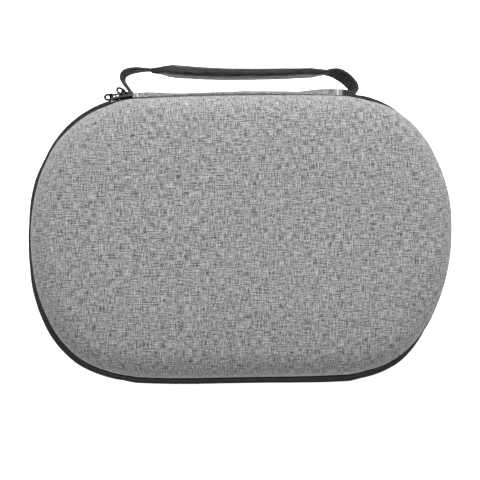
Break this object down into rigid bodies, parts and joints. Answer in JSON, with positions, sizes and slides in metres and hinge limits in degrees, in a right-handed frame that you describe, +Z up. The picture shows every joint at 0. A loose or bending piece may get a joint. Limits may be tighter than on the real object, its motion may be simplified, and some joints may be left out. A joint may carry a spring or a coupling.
{
  "type": "headphone carrying case",
  "caption": "Oval hard-shell headphone carrying case in grey heather fabric, with a zip round three sides, a fabric spine hinge, a soft carry handle, a lid pocket and a fitted tray.",
  "frame": {"origin": "centre of the flat underside of the base, on the surface the case lies on", "axes": "+X along the case's length, +Y towards the hinge spine and the handle, +Z up out of the lid"},
  "size_m": [0.3206, 0.2459, 0.12],
  "materials": {
    "heather_fabric": "matte",
    "moulded_foam": "matte",
    "lining": "matte",
    "black_tape": "matte",
    "zip_coil": "satin",
    "thread": "matte",
    "pale_thread": "matte",
    "zip_metal": "satin",
    "webbing": "matte",
    "grip_leather": "satin",
    "mesh": "matte"
  },
  "bodies": {
    "base": {"base_fabric": "heather_fabric", "base_shell": "moulded_foam", "base_lining": "lining", "base_binding": "black_tape", "base_zip_tape": "black_tape", "base_zip_coil": "zip_coil", "base_zip_seam": "thread", "zip_end_stops": "zip_metal", "spine_gusset": "heather_fabric", "gusset_tacks": "pale_thread", "strap_tab_left": "webbing", "strap_tab_right": "webbing", "tray_pad": "lining", "tray_island": "lining"},
    "lid": {"lid_fabric": "heather_fabric", "lid_shell": "moulded_foam", "lid_lining": "lining", "lid_binding": "black_tape", "lid_zip_tape": "black_tape", "lid_zip_coil": "zip_coil", "lid_zip_seam": "thread", "pocket_mesh": "mesh", "pocket_elastic": "black_tape", "pocket_tape": "black_tape"},
    "handle": {"strap_loop_left": "webbing", "strap_loop_right": "webbing", "grip_core": "webbing", "grip_wrap": "grip_leather", "grip_stitching": "pale_thread"},
    "slider_a": {"zip_slider_a": "zip_metal"},
    "pull_a": {"zip_pull_a": "zip_metal"},
    "slider_b": {"zip_slider_b": "zip_metal"},
    "pull_b": {"zip_pull_b": "zip_metal"}
  },
  "joints": [
    {"name": "lid_open", "type": "hinge", "parent": "base", "child": "lid", "pos_m": [0, 0.1085, 0.062], "axis": [-1, 0, 0], "range_deg": [0, 105], "deforming": ["spine_gusset", "gusset_tacks"]},
    {"name": "handle_swing", "type": "hinge", "parent": "base", "child": "handle", "pos_m": [0, 0.1105, 0.0496], "axis": [-1, 0, 0], "range_deg": [-45, 75], "deforming": ["strap_loop_left", "strap_loop_right"]},
    {"name": "slider_b_travel", "type": "hinge", "parent": "base", "child": "slider_b", "pos_m": [-0.07545, 0.0305, 0.062], "axis": [0, 0, 1], "range_deg": [0, 20]},
    {"name": "slider_a_travel", "type": "hinge", "parent": "slider_b", "child": "slider_a", "pos_m": [-0.07545, 0.0305, 0.062], "axis": [0, 0, 1], "range_deg": [0, 28.5]},
    {"name": "pull_a_swing", "type": "hinge", "parent": "slider_a", "child": "pull_a", "pos_m": [-0.09288, 0.10848, 0.062], "axis": [0, 0, 1], "range_deg": [-64, 2]},
    {"name": "pull_b_swing", "type": "hinge", "parent": "slider_b", "child": "pull_b", "pos_m": [-0.08449, 0.10989, 0.062], "axis": [0, 0, 1], "range_deg": [-85, 2]}
  ]
}
